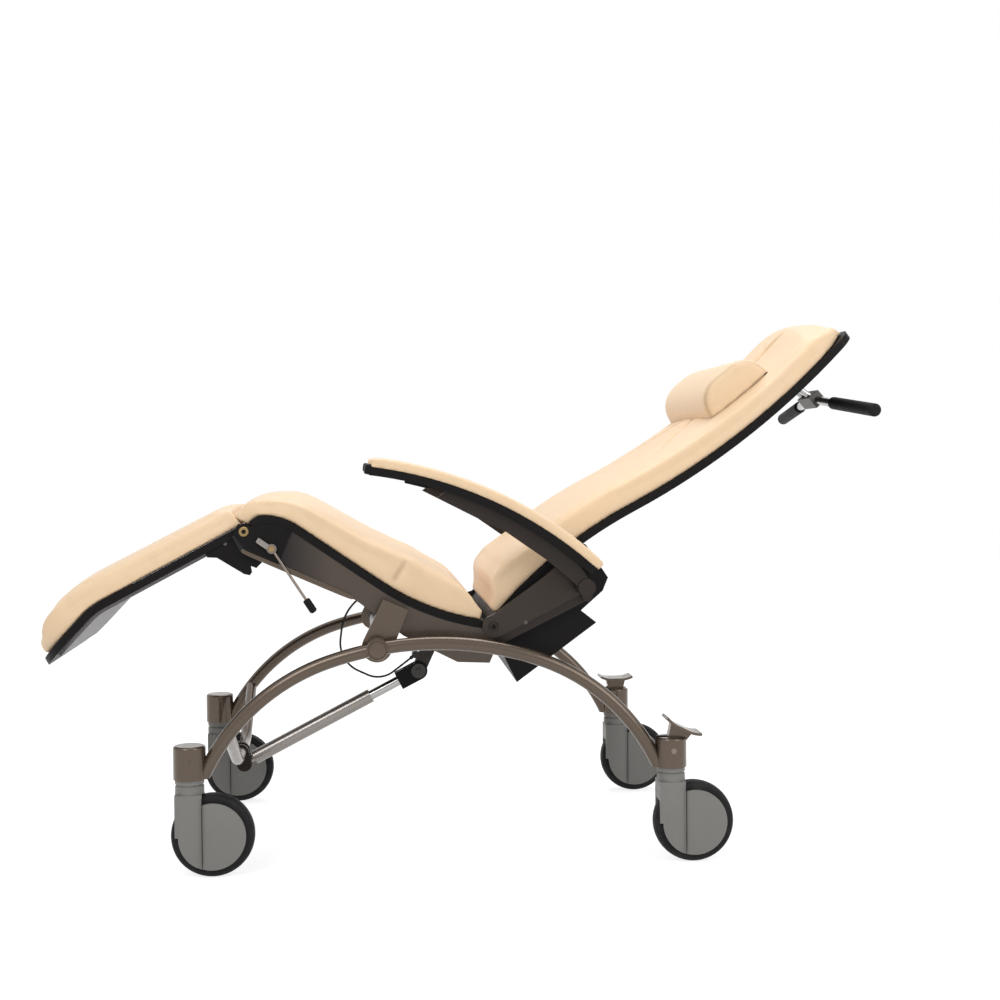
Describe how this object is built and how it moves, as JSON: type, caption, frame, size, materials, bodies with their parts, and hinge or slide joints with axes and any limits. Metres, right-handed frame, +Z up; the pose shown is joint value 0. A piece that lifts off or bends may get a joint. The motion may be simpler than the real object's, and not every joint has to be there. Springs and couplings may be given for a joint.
{
  "type": "transfer chair",
  "caption": "Tilting transfer chair on an arched caster base, with hinged legrest and reclining back, levelled armrests, gas spring and push handle.",
  "frame": {"origin": "on the floor, midway between the four caster stems", "axes": "+X from the footrest to the head end, +Y to the sitter's right, +Z up"},
  "size_m": [1.5715, 0.694, 0.9895],
  "materials": {
    "bronze": "satin metallic",
    "caster_grey": "satin",
    "wheel_grey": "matte",
    "tyre": "matte",
    "steel": "brushed",
    "silver": "satin",
    "chrome": "polished",
    "brass": "satin",
    "black_plastic": "satin",
    "shell_grey": "matte",
    "clamp_grey": "satin",
    "grip_rubber": "satin",
    "cable_black": "satin",
    "upholstery": "matte"
  },
  "bodies": {
    "base": {"side_frame_left": "bronze", "side_frame_right": "bronze", "front_cross_tube": "bronze", "caster_stems": "steel", "pedal_pins": "steel", "gas_foot": "bronze"},
    "seat": {"seat_panel": "black_plastic", "seat_cushion": "upholstery", "seat_side_plates": "bronze", "knee_plates": "black_plastic", "release_cable": "cable_black", "seat_cross_bars": "bronze", "pivot_brackets": "bronze", "tilt_shaft": "steel", "gas_bracket": "bronze", "hinge_pins": "brass"},
    "legrest": {"leg_panel": "black_plastic", "leg_shell": "shell_grey", "leg_cushion": "upholstery", "leg_brackets": "black_plastic"},
    "lever": {"lever_rod": "chrome", "lever_knob": "black_plastic"},
    "back": {"back_panel": "black_plastic", "back_cushion": "upholstery", "head_pillow": "upholstery", "back_arms": "bronze", "rear_shroud": "black_plastic", "handlebar": "chrome", "push_grips": "grip_rubber", "handle_stem": "chrome", "handle_clamp": "clamp_grey"},
    "armrest_left": {"armrest_pad_left": "upholstery", "armrest_body_left": "black_plastic", "armrest_bar_left": "bronze"},
    "armrest_right": {"armrest_pad_right": "upholstery", "armrest_body_right": "black_plastic", "armrest_bar_right": "bronze"},
    "link_left": {"armrest_link_left": "bronze"},
    "link_right": {"armrest_link_right": "bronze"},
    "gas_tube": {"gas_cylinder": "silver"},
    "gas_stem": {"gas_rod": "chrome", "gas_fork": "black_plastic"},
    "pedal_left": {"brake_pedal_left": "bronze"},
    "pedal_right": {"brake_pedal_right": "bronze"},
    "caster_front_left": {"caster_housing_front_left": "caster_grey", "caster_axle_front_left": "steel"},
    "wheel_front_left": {"wheel_hub_front_left": "wheel_grey", "tyre_front_left": "tyre"},
    "caster_rear_left": {"caster_housing_rear_left": "caster_grey", "caster_axle_rear_left": "steel"},
    "wheel_rear_left": {"wheel_hub_rear_left": "wheel_grey", "tyre_rear_left": "tyre"},
    "caster_front_right": {"caster_housing_front_right": "caster_grey", "caster_axle_front_right": "steel"},
    "wheel_front_right": {"wheel_hub_front_right": "wheel_grey", "tyre_front_right": "tyre"},
    "caster_rear_right": {"caster_housing_rear_right": "caster_grey", "caster_axle_rear_right": "steel"},
    "wheel_rear_right": {"wheel_hub_rear_right": "wheel_grey", "tyre_rear_right": "tyre"}
  },
  "joints": [
    {"name": "seat_tilt", "type": "hinge", "parent": "base", "child": "seat", "pos_m": [-0.10109, 0, 0.40442], "axis": [0, 1, 0], "range_deg": [-29, 11]},
    {"name": "back_recline", "type": "hinge", "parent": "seat", "child": "back", "pos_m": [0.1149, 0, 0.43742], "axis": [0, 1, 0], "range_deg": [-17, 21]},
    {"name": "legrest_lift", "type": "hinge", "parent": "seat", "child": "legrest", "pos_m": [-0.34208, 0, 0.61844], "axis": [0, 1, 0], "range_deg": [-10, 42]},
    {"name": "armrest_level_left", "type": "hinge", "parent": "back", "child": "armrest_left", "pos_m": [0.28092, -0.32, 0.51243], "axis": [0, 1, 0], "range_deg": [-26.1, 21.1]},
    {"name": "armrest_link_left", "type": "hinge", "parent": "seat", "child": "link_left", "pos_m": [0.1259, -0.254, 0.41142], "axis": [0, 1, 0], "range_deg": [-17.1, 21.1]},
    {"name": "armrest_level_right", "type": "hinge", "parent": "back", "child": "armrest_right", "pos_m": [0.28092, 0.32, 0.51243], "axis": [0, 1, 0], "range_deg": [-26.1, 21.1]},
    {"name": "armrest_link_right", "type": "hinge", "parent": "seat", "child": "link_right", "pos_m": [0.1259, 0.254, 0.41142], "axis": [0, 1, 0], "range_deg": [-17.1, 21.1]},
    {"name": "gas_swing", "type": "hinge", "parent": "base", "child": "gas_tube", "pos_m": [-0.36419, 0, 0.14311], "axis": [0, 1, 0], "range_deg": [-4, 2]},
    {"name": "gas_stroke", "type": "slide", "parent": "gas_tube", "child": "gas_stem", "axis": [0.8896, 0, 0.4567], "range_m": [-0.0245, 0.0545]},
    {"name": "release_lever", "type": "hinge", "parent": "seat", "child": "lever", "pos_m": [-0.29145, -0.2585, 0.5866], "axis": [0, 1, 0], "range_deg": [0, 20], "stiffness_Nm_per_rad": 1.5, "springref_deg": -8.59},
    {"name": "brake_left", "type": "hinge", "parent": "base", "child": "pedal_left", "pos_m": [0.44, -0.3, 0.209], "axis": [0, 1, 0], "range_deg": [-26, 0]},
    {"name": "brake_right", "type": "hinge", "parent": "base", "child": "pedal_right", "pos_m": [0.44, 0.3, 0.209], "axis": [0, 1, 0], "range_deg": [0, 26]},
    {"name": "swivel_front_left", "type": "hinge", "parent": "base", "child": "caster_front_left", "pos_m": [-0.44, -0.3, 0.16], "axis": [0, 0, 1], "continuous": true},
    {"name": "roll_front_left", "type": "hinge", "parent": "caster_front_left", "child": "wheel_front_left", "pos_m": [-0.399, -0.3, 0.075], "axis": [0, 1, 0], "continuous": true},
    {"name": "swivel_rear_left", "type": "hinge", "parent": "base", "child": "caster_rear_left", "pos_m": [0.44, -0.3, 0.16], "axis": [0, 0, 1], "continuous": true},
    {"name": "roll_rear_left", "type": "hinge", "parent": "caster_rear_left", "child": "wheel_rear_left", "pos_m": [0.481, -0.3, 0.075], "axis": [0, 1, 0], "continuous": true},
    {"name": "swivel_front_right", "type": "hinge", "parent": "base", "child": "caster_front_right", "pos_m": [-0.44, 0.3, 0.16], "axis": [0, 0, 1], "continuous": true},
    {"name": "roll_front_right", "type": "hinge", "parent": "caster_front_right", "child": "wheel_front_right", "pos_m": [-0.399, 0.3, 0.075], "axis": [0, 1, 0], "continuous": true},
    {"name": "swivel_rear_right", "type": "hinge", "parent": "base", "child": "caster_rear_right", "pos_m": [0.44, 0.3, 0.16], "axis": [0, 0, 1], "continuous": true},
    {"name": "roll_rear_right", "type": "hinge", "parent": "caster_rear_right", "child": "wheel_rear_right", "pos_m": [0.481, 0.3, 0.075], "axis": [0, 1, 0], "continuous": true}
  ],
  "couplings": [
    {"joint": "armrest_level_left", "follows": "back_recline", "ratio": -1.24},
    {"joint": "armrest_level_right", "follows": "back_recline", "ratio": -1.24},
    {"joint": "armrest_link_left", "follows": "back_recline", "ratio": 0.998},
    {"joint": "armrest_link_right", "follows": "back_recline", "ratio": 0.998},
    {"joint": "gas_swing", "follows": "seat_tilt", "ratio": 0.12737},
    {"joint": "gas_stroke", "follows": "seat_tilt", "m_per_rad": -0.10557}
  ]
}
